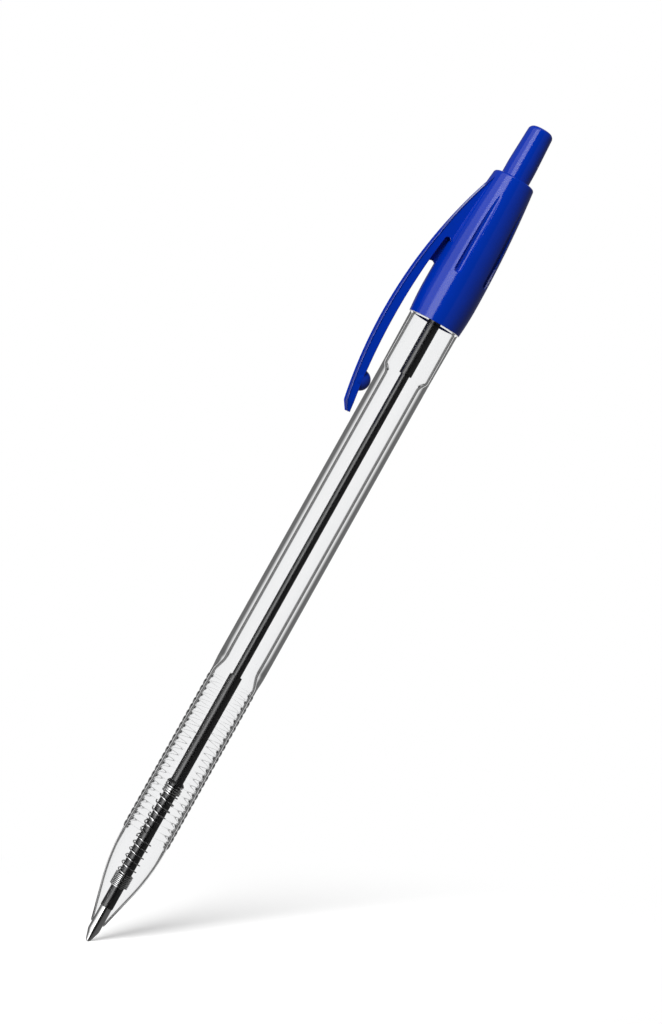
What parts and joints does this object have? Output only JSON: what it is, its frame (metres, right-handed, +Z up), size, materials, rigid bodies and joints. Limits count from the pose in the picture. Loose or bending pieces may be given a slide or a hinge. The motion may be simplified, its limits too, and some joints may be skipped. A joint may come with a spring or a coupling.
{
  "type": "pushbutton ballpoint pen",
  "caption": "Slim retractable ballpoint pen: clear ribbed barrel showing the spring and black refill, glossy blue cap with bowed clip, and a push button on top that draws the point in.",
  "frame": {"origin": "lowest point of the writing ball, on the pen's axis, in the writing position", "axes": "+Z up the pen from the writing point to the push button, -X towards the clip"},
  "size_m": [0.0124, 0.0092, 0.144],
  "materials": {
    "clear_plastic": "clear, polished",
    "blue_plastic": "glossy, moulded",
    "pale_plastic": "satin, moulded",
    "black_plastic": "glossy, extruded",
    "ink": "wet black ink",
    "tip_metal": "turned, polished",
    "ball_metal": "lapped",
    "spring_steel": "bright drawn wire"
  },
  "bodies": {
    "housing": {"barrel": "clear_plastic", "cap": "blue_plastic", "cam_sleeve": "pale_plastic", "return_spring": "spring_steel"},
    "button": {"push_button": "blue_plastic"},
    "refill": {"push_rod": "black_plastic", "ink_tube": "black_plastic", "ink": "ink", "point_holder": "black_plastic", "metal_point": "tip_metal", "writing_ball": "ball_metal"},
    "rotor": {"cam_rotor": "pale_plastic"}
  },
  "joints": [
    {"name": "button_slide", "type": "slide", "parent": "housing", "child": "button", "axis": [0, 0, 1], "range_m": [-0.0015, 0.005]},
    {"name": "refill_slide", "type": "slide", "parent": "housing", "child": "refill", "axis": [0, 0, 1], "range_m": [-0.0015, 0.005], "deforming": ["return_spring"]},
    {"name": "rotor_turn", "type": "hinge", "parent": "refill", "child": "rotor", "pos_m": [0, 0, 0.1195], "axis": [0, 0, 1], "continuous": true}
  ],
  "couplings": [
    {"joint": "refill_slide", "follows": "button_slide", "ratio": 1}
  ]
}
